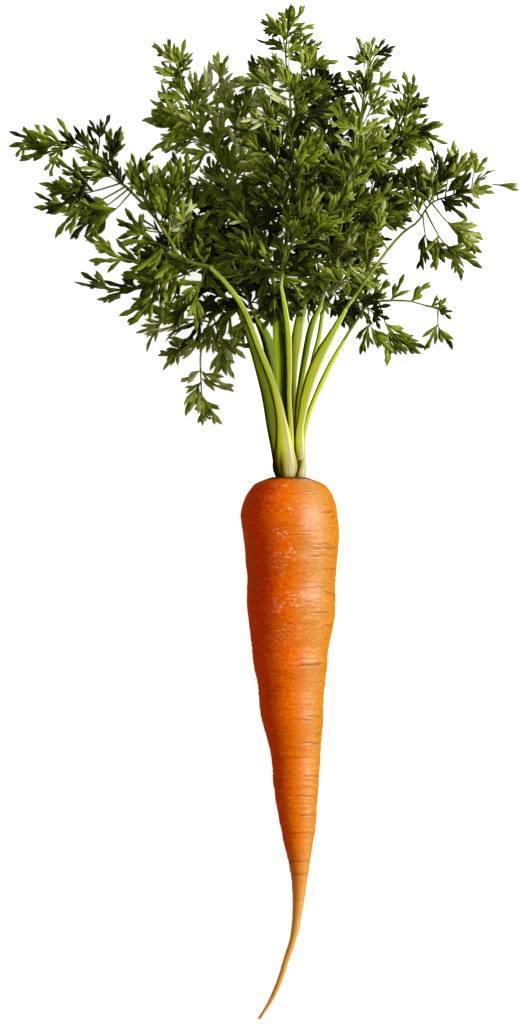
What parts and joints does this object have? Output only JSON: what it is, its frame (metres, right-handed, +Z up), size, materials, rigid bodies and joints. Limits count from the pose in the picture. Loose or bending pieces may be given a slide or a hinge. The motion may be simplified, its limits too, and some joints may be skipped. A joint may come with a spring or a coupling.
{
  "type": "carrot with leafy top",
  "caption": "Freshly pulled carrot lying on its side: a tapering orange taproot with a thin curling tail and a spreading top of green stalks and feathery divided leaves.",
  "frame": {"origin": "Middle of the underside of the whole object's box, on the table the carrot lies on.", "axes": "+Y runs along the carrot from the thin tail to the leaf tips, +X across it to the right as seen from above with the leaves pointing away, +Z up from the table."},
  "size_m": [0.207, 0.4072, 0.0461],
  "materials": {
    "root_skin": "satin, finely wrinkled skin",
    "stalk": "satin, lengthwise ribs",
    "foliage": "matte leaf"
  },
  "bodies": {
    "root": {"taproot": "root_skin", "leaf_stalk_1": "stalk", "leaf_stalk_2": "stalk", "leaf_stalk_3": "stalk", "leaf_stalk_4": "stalk", "leaf_stalk_5": "stalk", "leaf_stalk_6": "stalk", "leaf_stalk_7": "stalk", "leaf_stalk_8": "stalk", "leaf_stalk_9": "stalk", "leaf_stalk_10": "stalk", "leaf_blade_1": "foliage", "leaf_blade_2": "foliage", "leaf_blade_3": "foliage", "leaf_blade_4": "foliage", "leaf_blade_5": "foliage", "leaf_blade_6": "foliage", "leaf_blade_7": "foliage", "leaf_blade_8": "foliage", "leaf_blade_9": "foliage", "leaf_blade_10": "foliage"}
  },
  "joints": []
}
